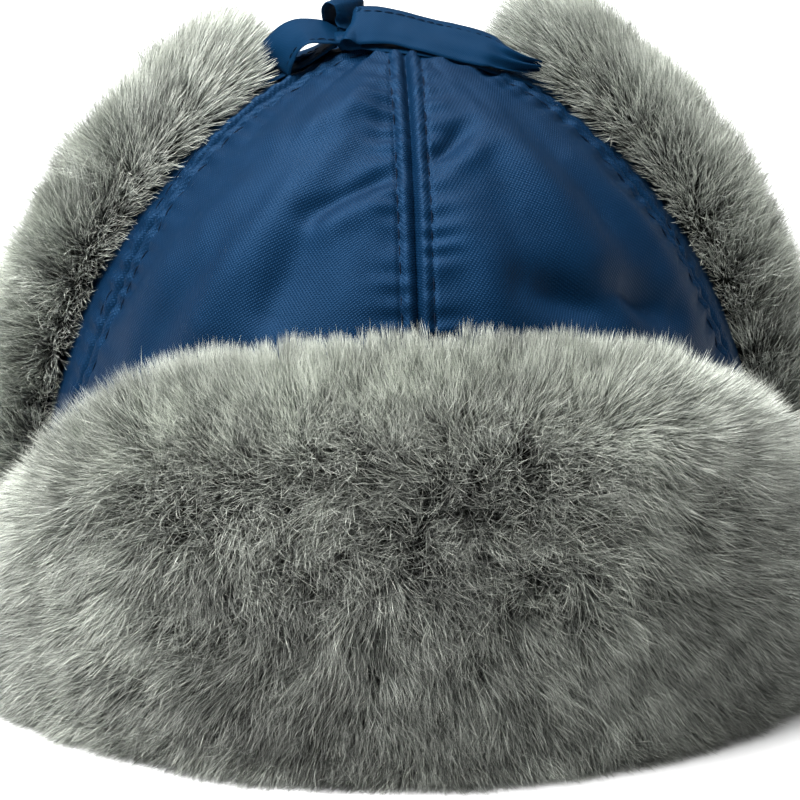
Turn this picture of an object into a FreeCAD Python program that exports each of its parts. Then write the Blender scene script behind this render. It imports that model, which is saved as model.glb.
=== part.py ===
import FreeCAD, Part
import Sketcher
import math
import os

# Trapper hat: a gored, padded crown with a fur visor, two fur ear flaps tied over the top and a
# fur neck flap. Millimetres and degrees. The origin is on the ground under the middle of the
# crown, +Z is up and the visor faces -Y. Left and right are those of a viewer who faces the
# visor, so the left nodes are at -X.

doc = FreeCAD.newDocument("trapper_hat")
Vector = FreeCAD.Vector
Rotation = FreeCAD.Rotation
Placement = FreeCAD.Placement

PARAMS = [
    # crown: a straight band under a half ellipsoid, layer by layer from the outside in
    ("crown_radius", 100.0),
    ("crown_depth_ratio", 0.98),
    ("crown_rise_ratio", 1.41),
    ("band_height", 10.6),
    ("binding_height", 4.0),
    ("shell_gauge", 1.2),
    ("wadding_gauge", 3.7),
    ("lining_gauge", 0.9),
    ("layer_gap", 0.1),
    ("sweatband_gauge", 1.3),
    ("sweatband_height", 34.0),
    ("sweatband_lean", 0.9),
    # flaps, layer by layer outwards from the crown
    ("flap_gap", 0.8),
    ("flap_shell_gauge", 1.0),
    ("flap_wadding_gauge", 2.5),
    ("stiffener_gauge", 1.6),
    ("flap_base", 0.5),
    ("fur_base", 0.01),
    # visor
    ("visor_rise_ratio", 2.0),
    ("visor_half_width", 112.0),
    ("visor_top_half_width", 74.0),
    ("visor_height", 96.0),
    ("visor_fur_height", 108.0),
    ("visor_end", 31.0),
    ("visor_corner", 58.0),
    ("visor_reach", 120.0),
    ("visor_fur_x", 122.0),
    ("visor_fur_y", 125.0),
    # ear flaps
    ("ear_front", -20.0),
    ("ear_rear", 66.0),
    ("ear_tip_front", -4.0),
    ("ear_tip_rear", 52.0),
    ("ear_tip_x", 42.0),
    ("ear_outline_height", 200.0),
    ("ear_corner", 24.0),
    ("ear_reach", 100.0),
    ("ear_fur_x", 120.0),
    ("ear_fur_y", 121.0),
    ("ear_fur_rise_ratio", 1.6),
    # neck flap
    ("neck_end", 68.0),
    ("neck_half_width", 98.0),
    ("neck_top_half_width", 66.0),
    ("neck_height", 74.0),
    ("neck_fur_height", 84.0),
    ("neck_corner", 24.0),
    ("neck_reach", 80.0),
    ("neck_fur_x", 116.0),
    ("neck_fur_y", 125.0),
    # ties: strips that lie on a drum of tie_arc_radius about an axis at tie_arc_centre
    ("tie_width", 13.0),
    ("tie_gauge", 1.0),
    ("tie_front", -11.0),
    ("tie_arc_radius", 75.0),
    ("tie_arc_centre", 82.2),
    ("tail_lift", 2.6),
    ("tail_offset", 2.0),
    ("tail_end", 36.0),
    ("knot_x", -16.0),
    ("knot_base", 156.6),
    ("knot_length", 8.0),
    ("knot_depth", 12.0),
    ("knot_height", 6.5),
    ("bow_radius", 7.4),
    ("bow_stretch", 1.45),
    ("bow_offset", 9.0),
    ("bow_centre", 160.2),
    ("top_loop_radius", 5.6),
    ("top_loop_stretch", 1.1),
    ("top_loop_front", 3.0),
    ("top_loop_centre", 163.6),
    # size tab
    ("tab_width", 24.0),
    ("tab_gauge", 0.6),
    ("tab_height", 16.0),
    ("tab_front", 88.5),
    ("tab_base", 36.5),
    ("tab_lean", 7.8),
]

sheet = doc.addObject("Spreadsheet::Sheet", "params")
for row, (alias, value) in enumerate(PARAMS, start=1):
    sheet.set("A%d" % row, alias)
    sheet.set("B%d" % row, str(value))
    sheet.setAlias("B%d" % row, alias)
doc.recompute()

nodes = []


def size(alias):
    """The sheet's value of a driving dimension."""
    return float(sheet.get(alias))


def bind(target, prop, expression):
    """Drive one property from the sheet."""
    target.setExpression(prop, expression)


def keep(shape_object, label):
    """Mark a finished sub-part: its label names its file."""
    shape_object.Label = label
    nodes.append(shape_object)


# --- sketches ---------------------------------------------------------------------------------

def origin_plane(body, role):
    """One of a body's own base planes."""
    return [item for item in body.Origin.OriginFeatures if item.Role == role][0]


def new_sketch(body, name, role, offset=0.0, azimuth=0.0):
    """A sketch on one of the body's planes, shifted along its normal or turned about Z."""
    sketch = body.newObject("Sketcher::SketchObject", name)
    sketch.AttachmentSupport = [(origin_plane(body, role), "")]
    sketch.MapMode = "FlatFace"
    sketch.AttachmentOffset = Placement(Vector(0, 0, offset), Rotation(Vector(0, 1, 0), azimuth))
    return sketch


def name_constraint(sketch, constraint, label, expression):
    """Add a dimension to a sketch and drive it from the sheet."""
    index = sketch.addConstraint(constraint)
    sketch.renameConstraint(index, label)
    bind(sketch, "Constraints." + label, expression)


def four_sided(sketch, rough, corners):
    """A closed four-sided section. rough holds the starting points, corners the (across, high)
    expressions that drive them."""
    for index in range(4):
        sketch.addGeometry(Part.LineSegment(rough[index], rough[(index + 1) % 4]))
    for index in range(4):
        sketch.addConstraint(Sketcher.Constraint("Coincident", index, 2, (index + 1) % 4, 1))
    for index, (across, high) in enumerate(corners):
        sideways = Sketcher.Constraint("DistanceX", -1, 1, index, 1, rough[index].x)
        name_constraint(sketch, sideways, "across_%d" % index, across)
        upwards = Sketcher.Constraint("DistanceY", -1, 1, index, 1, rough[index].y)
        name_constraint(sketch, upwards, "high_%d" % index, high)


def turned_about_z(body, name, sketch, sweep):
    """The section turned about the upright axis through sweep degrees."""
    turned = body.newObject("PartDesign::Revolution", name + "_turned")
    turned.Profile = sketch
    turned.ReferenceAxis = (sketch, ["V_Axis"])
    turned.Angle = sweep


# --- solids -----------------------------------------------------------------------------------

def dome(name, outer, inner, sector, base="params.binding_height / params.crown_rise_ratio"):
    """A band under a hemisphere, turned about Z through the sector (start azimuth, sweep). With
    inner None it is solid."""
    start, sweep = sector
    body = doc.addObject("PartDesign::Body", name + "_body")
    sketch = new_sketch(body, name + "_section", "XZ_Plane", 0.0, start)
    band = size("band_height")
    low = size("binding_height") / size("crown_rise_ratio")
    radius_out = size("crown_radius")
    radius_in = 0.9 * radius_out if inner else 0.0
    foot = Vector(radius_in, low, 0)
    heel = Vector(radius_out, low, 0)
    spring = Vector(radius_out, band, 0)
    centre = Vector(0, band, 0)
    top_out = Vector(0, band + radius_out, 0)
    sketch.addGeometry(Part.LineSegment(foot, heel))
    sketch.addGeometry(Part.LineSegment(heel, spring))
    outer_circle = Part.Circle(centre, Vector(0, 0, 1), radius_out)
    sketch.addGeometry(Part.ArcOfCircle(outer_circle, 0.0, math.pi / 2))
    if inner:
        inner_circle = Part.Circle(centre, Vector(0, 0, 1), radius_in)
        sketch.addGeometry(Part.LineSegment(top_out, Vector(0, band + radius_in, 0)))
        sketch.addGeometry(Part.ArcOfCircle(inner_circle, 0.0, math.pi / 2))
        sketch.addGeometry(Part.LineSegment(Vector(radius_in, band, 0), foot))
    else:
        sketch.addGeometry(Part.LineSegment(top_out, foot))
    join = [("Coincident", 0, 2, 1, 1), ("Coincident", 1, 2, 2, 1), ("Coincident", 2, 2, 3, 1)]
    if inner:
        join += [("Coincident", 3, 2, 4, 2), ("Coincident", 4, 1, 5, 1), ("Coincident", 5, 2, 0, 1)]
        join += [("Coincident", 2, 3, 4, 3), ("Vertical", 5), ("PointOnObject", 3, 2, -2)]
        join += [("Horizontal", 4, 3, 4, 1)]
    else:
        join += [("Coincident", 3, 2, 0, 1), ("PointOnObject", 0, 1, -2)]
    join += [("Horizontal", 0), ("Vertical", 1), ("PointOnObject", 2, 3, -2)]
    join += [("PointOnObject", 2, 2, -2), ("Horizontal", 2, 3, 2, 1)]
    for entry in join:
        sketch.addConstraint(Sketcher.Constraint(*entry))
    name_constraint(sketch, Sketcher.Constraint("Radius", 2, radius_out), "outer", outer)
    if inner:
        name_constraint(sketch, Sketcher.Constraint("Radius", 4, radius_in), "inner", inner)
    height = Sketcher.Constraint("DistanceY", -1, 1, 2, 3, band)
    name_constraint(sketch, height, "band", "params.band_height")
    floor = Sketcher.Constraint("DistanceY", -1, 1, 1, 1, low)
    name_constraint(sketch, floor, "base", base)
    turned_about_z(body, name, sketch, sweep)
    return body


def stretched(name, base, ratios):
    """A shape stretched by its three ratios: a round dome becomes the hat's oval."""
    scaled = doc.addObject("Part::Scale", name)
    scaled.Base = base
    scaled.Uniform = False
    for prop, ratio in zip(("XScale", "YScale", "ZScale"), ratios):
        bind(scaled, prop, ratio)
    return scaled


def common(name, first, second):
    """What two shapes share."""
    both = doc.addObject("Part::Common", name)
    both.Base = first
    both.Tool = second
    return both


def cut(name, first, second):
    """The first shape without the second."""
    rest = doc.addObject("Part::Cut", name)
    rest.Base = first
    rest.Tool = second
    return rest


# --- crown ------------------------------------------------------------------------------------

CROWN = ("1.0", "params.crown_depth_ratio", "params.crown_rise_ratio")
shell_out = "params.crown_radius"
shell_in = shell_out + " - params.shell_gauge"
wadding_out = shell_in + " - params.layer_gap"
wadding_in = wadding_out + " - params.wadding_gauge"
lining_out = wadding_in + " - params.layer_gap"
lining_in = lining_out + " - params.lining_gauge"
sweat_out = lining_in + " - params.layer_gap"
sweat_in = sweat_out + " - params.sweatband_gauge"

# Each gore's start azimuth and sweep; the front seam is at -90. The front gores are the widest,
# and the side seams lie just in front of the middle of the ears.
GORES = [
    ("front_left", (-160.0, 70.0)),
    ("front_right", (-90.0, 70.0)),
    ("side_right", (-20.0, 55.0)),
    ("back_right", (35.0, 55.0)),
    ("back_left", (90.0, 55.0)),
    ("side_left", (145.0, 55.0)),
]
LAYERS = [
    ("crown_panel_", shell_out, shell_in),
    ("crown_wadding_", wadding_out, wadding_in),
    ("lining_panel_", lining_out, lining_in),
]
for layer_name, outer, inner in LAYERS:
    for gore, sector in GORES:
        panel = dome(layer_name + gore + "_round", outer, inner, sector)
        keep(stretched(layer_name + gore + "_oval", panel, CROWN), layer_name + gore)


def oval_ring(name, outer, inner, height):
    """An upright oval ring with the crown's plan, standing flat on the ground."""
    drums = []
    for part, radius in (("outer", outer), ("inner", inner)):
        plan = doc.addObject("Part::Ellipse", name + "_" + part + "_plan")
        bind(plan, "MajorRadius", radius)
        bind(plan, "MinorRadius", "(" + radius + ") * params.crown_depth_ratio")
        drum = doc.addObject("Part::Extrusion", name + "_" + part)
        drum.Base = plan
        drum.DirMode = "Normal"
        drum.Solid = True
        bind(drum, "LengthFwd", height)
        drums.append(drum)
    return cut(name, drums[0], drums[1])


keep(oval_ring("binding", shell_out, sweat_in, "params.binding_height"), "rim_binding")

# the sweatband stands on the binding and leans in with the crown
sweat_body = doc.addObject("PartDesign::Body", "sweat_body")
sweat_sketch = new_sketch(sweat_body, "sweat_section", "XZ_Plane")
sweat_rough = [Vector(92, 4, 0), Vector(94, 4, 0), Vector(93, 30, 0), Vector(91, 30, 0)]
sweat_corners = [
    (sweat_in, "params.binding_height"),
    (sweat_out, "params.binding_height"),
    (sweat_out + " - params.sweatband_lean", "params.sweatband_height"),
    (sweat_in + " - params.sweatband_lean", "params.sweatband_height"),
]
four_sided(sweat_sketch, sweat_rough, sweat_corners)
turned_about_z(sweat_body, "sweat", sweat_sketch, 360.0)
keep(stretched("sweat_oval", sweat_body, ("1.0", "params.crown_depth_ratio", "1.0")), "sweatband")


# --- flap outlines ----------------------------------------------------------------------------

# For each flap: the plane its outline is drawn on, the plane's offset, whether it is padded
# backwards, the direction of its corner edges, and its ends across the foot and across the top.
FLAPS = {
    "visor": ("XZ_Plane", size("visor_end"), False, Vector(0, 1, 0),
              ("-params.visor_half_width", "params.visor_half_width"),
              ("-params.visor_top_half_width", "params.visor_top_half_width")),
    "neck": ("XZ_Plane", -size("neck_end"), True, Vector(0, 1, 0),
             ("-params.neck_half_width", "params.neck_half_width"),
             ("-params.neck_top_half_width", "params.neck_top_half_width")),
    "ear": ("YZ_Plane", size("ear_tip_x"), False, Vector(1, 0, 0),
            ("params.ear_front", "params.ear_rear"),
            ("params.ear_tip_front", "params.ear_tip_rear")),
}


def flap_outline(name, flap, height):
    """A flap's outline padded outwards from its plane, with the two upper corners rounded."""
    role, offset, backwards, lead, foot, top = FLAPS[flap]
    body = doc.addObject("PartDesign::Body", name + "_body")
    sketch = new_sketch(body, name + "_sketch", role, offset)
    rough = [Vector(-50, 1, 0), Vector(50, 1, 0), Vector(40, 80, 0), Vector(-40, 80, 0)]
    corners = [
        (foot[0], "params.flap_base"),
        (foot[1], "params.flap_base"),
        (top[1], height),
        (top[0], height),
    ]
    four_sided(sketch, rough, corners)
    pad = body.newObject("PartDesign::Pad", name + "_pad")
    pad.Profile = sketch
    pad.Reversed = backwards
    bind(pad, "Length", "params." + flap + "_reach")
    doc.recompute()
    highest = max(vertex.Z for vertex in pad.Shape.Vertexes)
    ends = []
    for index, edge in enumerate(pad.Shape.Edges, start=1):
        along = edge.tangentAt(edge.FirstParameter)
        is_upper = min(vertex.Z for vertex in edge.Vertexes) > highest - 0.5
        if is_upper and abs(along.dot(lead)) > 0.99:
            ends.append("Edge%d" % index)
    rounded = body.newObject("PartDesign::Fillet", name + "_rounded")
    rounded.Base = (pad, ends)
    bind(rounded, "Radius", "params." + flap + "_corner")
    body.Tip = rounded
    return body


# --- flap layers ------------------------------------------------------------------------------

flap_in = "params.crown_radius + params.flap_gap"
flap_shell_out = flap_in + " + params.flap_shell_gauge"
pad_in = flap_shell_out + " + params.layer_gap"
stiffener_out = pad_in + " + params.stiffener_gauge"
flap_pad_out = pad_in + " + params.flap_wadding_gauge"
visor_fur_in = stiffener_out + " + params.layer_gap"
padded_fur_in = flap_pad_out + " + params.layer_gap"
UPRIGHT = ("1.0", "params.crown_depth_ratio", "params.visor_rise_ratio")

# each flap is cut from the part of a dome on its own side of the hat; the cutting dome is wider
FRONT = ((-175.0, 170.0), (-178.0, 176.0))
SIDE = ((-85.0, 170.0), (-88.0, 176.0))
BACK = ((5.0, 170.0), (2.0, 176.0))


def layer(name, outer, inner, ratios, side, outline):
    """A layer of even thickness on one side of the hat, inside its outline."""
    sector = dome(name, outer, inner, side[0], "params.fur_base")
    return common(name + "_cut", stretched(name + "_stretched", sector, ratios), outline)


def fur_layer(name, inner, ratios, outside_ratios, side, outline):
    """Pile whose outside is an ellipsoid of its own, so that it thins towards the flap's ends."""
    solid = dome(name + "_solid", "params.crown_radius", None, side[0], "params.fur_base")
    outside = stretched(name + "_outside", solid, outside_ratios)
    core = dome(name + "_core", inner, None, side[1], "params.fur_base")
    inside = stretched(name + "_inside", core, ratios)
    return cut(name + "_pile", common(name + "_cut", outside, outline), inside)


visor_pile = ("params.visor_fur_x / params.crown_radius",
              "params.visor_fur_y / params.crown_radius", "params.visor_rise_ratio")
keep(layer("visor_nylon", flap_shell_out, flap_in, UPRIGHT, FRONT,
           flap_outline("visor_nylon_outline", "visor", "params.visor_height")), "visor_shell")
keep(layer("visor_board", stiffener_out, pad_in, UPRIGHT, FRONT,
           flap_outline("visor_board_outline", "visor", "params.visor_height")),
     "visor_stiffener")
keep(fur_layer("visor_pile", visor_fur_in, UPRIGHT, visor_pile, FRONT,
               flap_outline("visor_pile_outline", "visor", "params.visor_fur_height")),
     "visor_fur")

neck_pile = ("params.neck_fur_x / params.crown_radius",
             "params.neck_fur_y / params.crown_radius", "params.visor_rise_ratio")
keep(layer("neck_nylon", flap_shell_out, flap_in, UPRIGHT, BACK,
           flap_outline("neck_nylon_outline", "neck", "params.neck_height")), "neck_flap_shell")
keep(layer("neck_pad", flap_pad_out, pad_in, UPRIGHT, BACK,
           flap_outline("neck_pad_outline", "neck", "params.neck_height")), "neck_flap_wadding")
keep(fur_layer("neck_pile", padded_fur_in, UPRIGHT, neck_pile, BACK,
               flap_outline("neck_pile_outline", "neck", "params.neck_fur_height")),
     "neck_flap_fur")

ear_pile = ("params.ear_fur_x / params.crown_radius",
            "params.ear_fur_y / params.crown_radius", "params.ear_fur_rise_ratio")
ear_top = "params.ear_outline_height"
ear_parts = [
    ("shell", layer("ear_nylon", flap_shell_out, flap_in, CROWN, SIDE,
                    flap_outline("ear_nylon_outline", "ear", ear_top))),
    ("wadding", layer("ear_pad", flap_pad_out, pad_in, CROWN, SIDE,
                      flap_outline("ear_pad_outline", "ear", ear_top))),
    ("fur", fur_layer("ear_pile", padded_fur_in, CROWN, ear_pile, SIDE,
                      flap_outline("ear_pile_outline", "ear", ear_top))),
]
for part, ear in ear_parts:
    keep(ear, "ear_flap_right_" + part)
    mirrored = doc.addObject("Part::Mirroring", "ear_left_" + part)
    mirrored.Source = ear
    mirrored.Normal = Vector(1, 0, 0)
    keep(mirrored, "ear_flap_left_" + part)


# --- ties -------------------------------------------------------------------------------------

def block(name, low, span):
    """A box from its low corner; span holds its three sizes as expressions."""
    solid = doc.addObject("Part::Box", name)
    for prop, length in zip(("Length", "Width", "Height"), span):
        bind(solid, prop, length)
    solid.Placement = Placement(low, Rotation())
    return solid


def hollow_drum(name, radius, inner_radius):
    """A ring as deep as a tie is wide, and as thick as a tie, about its own Z axis."""
    drums = []
    for part, reach in (("outer", radius), ("inner", inner_radius)):
        drum = doc.addObject("Part::Cylinder", name + "_" + part)
        bind(drum, "Radius", reach)
        bind(drum, "Height", "params.tie_width")
        drums.append(drum)
    return cut(name, drums[0], drums[1])


def strip_over_top(name, lift, ends, front):
    """A flat strip lifted off the crown's top, from x = ends[0] to x = ends[1]."""
    inner_radius = "params.tie_arc_radius + " + lift
    ring = hollow_drum(name + "_ring", inner_radius + " + params.tie_gauge", inner_radius)
    ring.Placement = Placement(Vector(0, front, size("tie_arc_centre")),
                               Rotation(Vector(1, 0, 0), -90))
    low = Vector(ends[0], -2 * size("tie_width"), size("tie_arc_centre"))
    span = ("%g" % (ends[1] - ends[0]), "4 * params.tie_width", "1.2 * params.tie_arc_radius")
    return common(name, ring, block(name + "_span", low, span))


def bow_loop(name, radius, stretch, centre):
    """One loop of the bow, a flat ring open towards the front and back."""
    ring = hollow_drum(name + "_ring", radius, radius + " - params.tie_gauge")
    oval = stretched(name, ring, (stretch, "1.0", "1.0"))
    oval.Placement = Placement(centre, Rotation(Vector(1, 0, 0), -90))
    return oval


def fused(name, shapes):
    """Several overlapping shapes as one solid."""
    whole = doc.addObject("Part::MultiFuse", name)
    whole.Shapes = shapes
    return whole


front = size("tie_front")
knot_x = size("knot_x")
knot_left = knot_x - size("knot_length") / 2
knot_right = knot_x + size("knot_length") / 2
ear_tip = size("ear_tip_x")

left_run = strip_over_top("left_run", "0", (-ear_tip, knot_left + 1), front)
knot = block("knot", Vector(knot_left, front, size("knot_base")),
             ("params.knot_length", "params.knot_depth", "params.knot_height"))
bow = bow_loop("bow", "params.bow_radius", "params.bow_stretch",
               Vector(knot_left - size("bow_offset"), front, size("bow_centre")))
top_loop = bow_loop("top_loop", "params.top_loop_radius", "params.top_loop_stretch",
                    Vector(knot_x + 0.5, size("top_loop_front"), size("top_loop_centre")))
foot_low = Vector(knot_x - 3, -2.0, size("top_loop_centre") - size("top_loop_radius") - 0.2)
top_loop_foot = block("top_loop_foot", foot_low, ("6", "8", "2 * params.tie_gauge"))
keep(fused("tie_left", [left_run, knot, bow, top_loop, top_loop_foot]), "ear_tie_left")

# the right tie passes through the knot, then folds back over itself as a tail
right_start = knot_right + 0.5
right_run = strip_over_top("right_run", "0", (right_start, ear_tip), front)
tail = strip_over_top("tail", "params.tail_lift", (right_start, size("tail_end")),
                      front - size("tail_offset"))
turn = block("turn", Vector(right_start, front, size("knot_base") + 0.3),
             ("2 * params.tie_gauge", "params.tie_width - params.tail_offset",
              "params.tail_lift + 0.6"))
keep(fused("tie_right", [right_run, tail, turn]), "ear_tie_right")

# a blank size tab sewn to the lining at the back, leaning in with it
tab_low = Vector(-size("tab_width") / 2, size("tab_front"), size("tab_base"))
tab = block("tab", tab_low, ("params.tab_width", "params.tab_gauge", "params.tab_height"))
tab.Placement = Placement(tab_low, Rotation(Vector(1, 0, 0), size("tab_lean")))
keep(tab, "size_tab")

# --- checks and files -------------------------------------------------------------------------

doc.recompute()

for item in doc.Objects:
    if "Invalid" in item.State or "Error" in item.State:
        raise RuntimeError("%s did not rebuild: %s" % (item.Label, item.State))
for node in nodes:
    shape = node.Shape
    if shape.isNull() or not shape.isValid():
        raise RuntimeError("%s has no valid shape" % node.Label)

os.makedirs("parts", exist_ok=True)
for node in nodes:
    box = node.Shape.optimalBoundingBox()
    node.Shape.exportStep(os.path.join("parts", node.Label + ".step"))
    print("%-26s solids %d  volume %9.0f  x %7.1f %7.1f  y %7.1f %7.1f  z %6.1f %6.1f" % (
        node.Label, len(node.Shape.Solids), node.Shape.Volume,
        box.XMin, box.XMax, box.YMin, box.YMax, box.ZMin, box.ZMax))
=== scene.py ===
import math

import bpy
import numpy as np
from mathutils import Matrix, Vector


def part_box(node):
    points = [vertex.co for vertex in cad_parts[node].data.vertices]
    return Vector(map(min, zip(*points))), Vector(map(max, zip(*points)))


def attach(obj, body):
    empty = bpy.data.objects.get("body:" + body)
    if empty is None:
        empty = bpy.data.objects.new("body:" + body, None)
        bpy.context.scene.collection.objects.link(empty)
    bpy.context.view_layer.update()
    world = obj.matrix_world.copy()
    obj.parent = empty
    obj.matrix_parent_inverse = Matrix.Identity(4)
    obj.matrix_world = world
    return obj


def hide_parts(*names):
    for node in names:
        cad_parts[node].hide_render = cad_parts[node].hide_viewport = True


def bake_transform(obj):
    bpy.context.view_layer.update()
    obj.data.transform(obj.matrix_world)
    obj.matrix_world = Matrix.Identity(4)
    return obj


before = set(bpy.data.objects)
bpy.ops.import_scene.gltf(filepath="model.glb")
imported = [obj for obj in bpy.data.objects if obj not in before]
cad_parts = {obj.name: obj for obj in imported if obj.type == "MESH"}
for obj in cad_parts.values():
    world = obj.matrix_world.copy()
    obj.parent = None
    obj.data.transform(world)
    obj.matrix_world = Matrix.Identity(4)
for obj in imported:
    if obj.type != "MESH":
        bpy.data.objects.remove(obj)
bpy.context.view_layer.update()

# Trapper hat. Shapes are worked out in millimetres, in the CAD frame, and turned into metres where
# a mesh is made. phi is an angle round the hat: 0 at the front, positive to the viewer's right.

MM = 0.001


def span(node):
    """A CAD node's lowest and highest corners, in millimetres."""
    low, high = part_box(node)
    return np.array(low) / MM, np.array(high) / MM


def unit(vectors):
    return vectors / np.maximum(np.linalg.norm(vectors, axis=-1, keepdims=True), 1e-9)


# --- repeatable noise -----------------

def hashed(i, j, seed):
    """A repeatable random number from 0 to 1 for each pair of whole numbers."""
    i = i.astype(np.int64).astype(np.uint64)
    j = j.astype(np.int64).astype(np.uint64)
    word = np.uint64(0xFFFFFFFF)
    n = (i * np.uint64(374761393) + j * np.uint64(668265263) + np.uint64(seed * 974634777)) & word
    n = ((n ^ (n >> np.uint64(13))) * np.uint64(1274126177)) & word
    n = ((n ^ (n >> np.uint64(15))) * np.uint64(2246822519)) & word
    return ((n ^ (n >> np.uint64(16))) & np.uint64(0xFFFFFF)).astype(float) / 0xFFFFFF


def noise(u, v, cell, seed):
    """Smooth noise from -1 to 1 whose hills are about cell across."""
    u, v = np.broadcast_arrays(np.asarray(u, float) / cell, np.asarray(v, float) / cell)
    iu, iv = np.floor(u), np.floor(v)
    fu, fv = u - iu, v - iv
    fu, fv = fu * fu * (3 - 2 * fu), fv * fv * (3 - 2 * fv)
    low = hashed(iu, iv, seed) * (1 - fu) + hashed(iu + 1, iv, seed) * fu
    high = hashed(iu, iv + 1, seed) * (1 - fu) + hashed(iu + 1, iv + 1, seed) * fu
    return 2 * (low * (1 - fv) + high * fv) - 1


def noise_pair(u, v, cell, seed):
    return np.stack([noise(u, v, cell, seed), noise(u, v, cell, seed + 1)], -1)


# --- meshes ---------------------------

def make_mesh(name, points, faces, materials, face_slots=None, cloth=None):
    """One object from points in millimetres and a list of face arrays (quads, triangles). cloth
    gives each point's place on the flat fabric, in millimetres, for its weave."""
    mesh = bpy.data.meshes.new(name)
    mesh.vertices.add(len(points))
    mesh.vertices.foreach_set("co", (np.asarray(points, float) * MM).astype(np.float32).ravel())
    sizes = np.concatenate([np.full(len(f), f.shape[1]) for f in faces])
    corners = np.concatenate([f.ravel() for f in faces]).astype(np.int32)
    mesh.loops.add(len(corners))
    mesh.loops.foreach_set("vertex_index", corners)
    mesh.polygons.add(len(sizes))
    starts = np.concatenate([[0], np.cumsum(sizes)[:-1]]).astype(np.int32)
    mesh.polygons.foreach_set("loop_start", starts)
    for material in materials:
        mesh.materials.append(material)
    if face_slots is not None:
        mesh.polygons.foreach_set("material_index", np.asarray(face_slots, np.int32))
    if cloth is not None:
        layer = mesh.attributes.new("cloth", "FLOAT_VECTOR", "POINT")
        flat = np.zeros((len(points), 3), np.float32)
        flat[:, :2] = cloth
        layer.data.foreach_set("vector", flat.ravel())
    mesh.update(calc_edges=True)
    mesh.polygons.foreach_set("use_smooth", np.ones(len(sizes), bool))
    mesh.update()
    piece = bpy.data.objects.new(name, mesh)
    bpy.context.scene.collection.objects.link(piece)
    return piece


def grid_faces(rows, columns, first=0, close_columns=False):
    """Quads over a rows x columns grid of points."""
    across = columns if close_columns else columns - 1
    r, c = np.meshgrid(np.arange(rows - 1), np.arange(across), indexing="ij")
    here = first + r * columns + c
    right = first + r * columns + (c + 1) % columns
    return np.stack([here, right, right + columns, here + columns], -1).reshape(-1, 4)


def slab(name, front, back, material, cloth=None):
    """A closed sheet between two grids of points of the same shape (rows, columns, 3)."""
    rows, columns = front.shape[:2]
    count = rows * columns
    outer = grid_faces(rows, columns)
    inner = grid_faces(rows, columns, count)[:, ::-1]
    loop = np.concatenate([
        np.arange(columns - 1), np.arange(rows - 1) * columns + columns - 1,
        (rows - 1) * columns + np.arange(columns - 1, 0, -1), np.arange(rows - 1, 0, -1) * columns])
    ahead = np.roll(loop, -1)
    rim = np.stack([ahead, loop, loop + count, ahead + count], -1)
    points = np.concatenate([front.reshape(-1, 3), back.reshape(-1, 3)])
    flat = None if cloth is None else np.concatenate([cloth.reshape(-1, 2)] * 2)
    return make_mesh(name, points, [outer, inner, rim], [material], cloth=flat)


def path_length(points):
    """The distance along a path to each of its points."""
    return np.concatenate([[0], np.cumsum(np.linalg.norm(np.diff(points, axis=0), axis=1))])


def swept(name, centres, sides, ups, outline, material):
    """A closed bar: outline's (across, up) points at each centre, along sides and ups."""
    rows, columns = len(centres), outline.shape[-2]
    outline = np.broadcast_to(outline, (rows, columns, 2))
    points = (centres[:, None] + outline[..., :1] * sides[:, None] + outline[..., 1:] * ups[:, None])
    body = grid_faces(rows, columns, close_columns=True)
    caps = np.array([np.arange(columns)[::-1], (rows - 1) * columns + np.arange(columns)])
    along = path_length(centres)
    flat = np.stack([np.broadcast_to(outline[..., 0], (rows, columns)),
                     np.broadcast_to(along[:, None], (rows, columns))], -1).reshape(-1, 2)
    return make_mesh(name, points.reshape(-1, 3), [body, caps], [material], cloth=flat)


def smooth_path(points, count):
    """count points on a smooth curve through the given ones, with each column eased alike."""
    points = np.asarray(points, float)
    padded = np.vstack([2 * points[0] - points[1], points, 2 * points[-1] - points[-2]])
    t = np.linspace(0, len(points) - 1 - 1e-9, count)
    k = t.astype(int)
    f = (t - k)[:, None]
    a, b, c, d = padded[k], padded[k + 1], padded[k + 2], padded[k + 3]
    return 0.5 * (2 * b + (c - a) * f + (2 * a - 5 * b + 4 * c - d) * f ** 2
                  + (3 * b - a - 3 * c + d) * f ** 3)


# --- materials ------------------------

def new_material(name, colour, roughness, specular=0.5):
    material = bpy.data.materials.new(name)
    material.use_nodes = True
    shader = material.node_tree.nodes["Principled BSDF"]
    shader.inputs["Base Color"].default_value = (*colour, 1)
    shader.inputs["Roughness"].default_value = roughness
    shader.inputs["Specular IOR Level"].default_value = specular
    return material, material.node_tree, shader


def node(tree, kind, **values):
    """A new node. values are its inputs, whose names have _ for a space, and its settings."""
    made = tree.nodes.new(kind)
    for key, value in values.items():
        label = key.replace("_", " ")
        if label in made.inputs:
            made.inputs[label].default_value = value
        else:
            setattr(made, key, value)
    return made


def clouds(tree, place, scale, detail, **values):
    """The value of a noise texture at a place."""
    made = node(tree, "ShaderNodeTexNoise", Scale=scale, Detail=detail, **values)
    tree.links.new(place, made.inputs["Vector"])
    return made.outputs["Fac"]


def maths(tree, operation, *terms):
    """A Math node's result. Each term is a number or another node's output."""
    made = node(tree, "ShaderNodeMath", operation=operation)
    for socket, term in zip(made.inputs, terms):
        if isinstance(term, float):
            socket.default_value = term
        else:
            tree.links.new(term, socket)
    return made.outputs[0]


def colour_and_bump(tree, shader, shade, dark, light, height, strength, depth):
    """The colour runs from dark to light with shade. The bump follows height, to depth in mm."""
    mix = node(tree, "ShaderNodeMix", data_type="RGBA")
    mix.inputs[6].default_value = (*dark, 1)
    mix.inputs[7].default_value = (*light, 1)
    tree.links.new(shade, mix.inputs[0])
    tree.links.new(mix.outputs[2], shader.inputs["Base Color"])
    bump = node(tree, "ShaderNodeBump", Strength=strength, Distance=depth * MM)
    tree.links.new(height, bump.inputs["Height"])
    tree.links.new(bump.outputs["Normal"], shader.inputs["Normal"])


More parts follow.
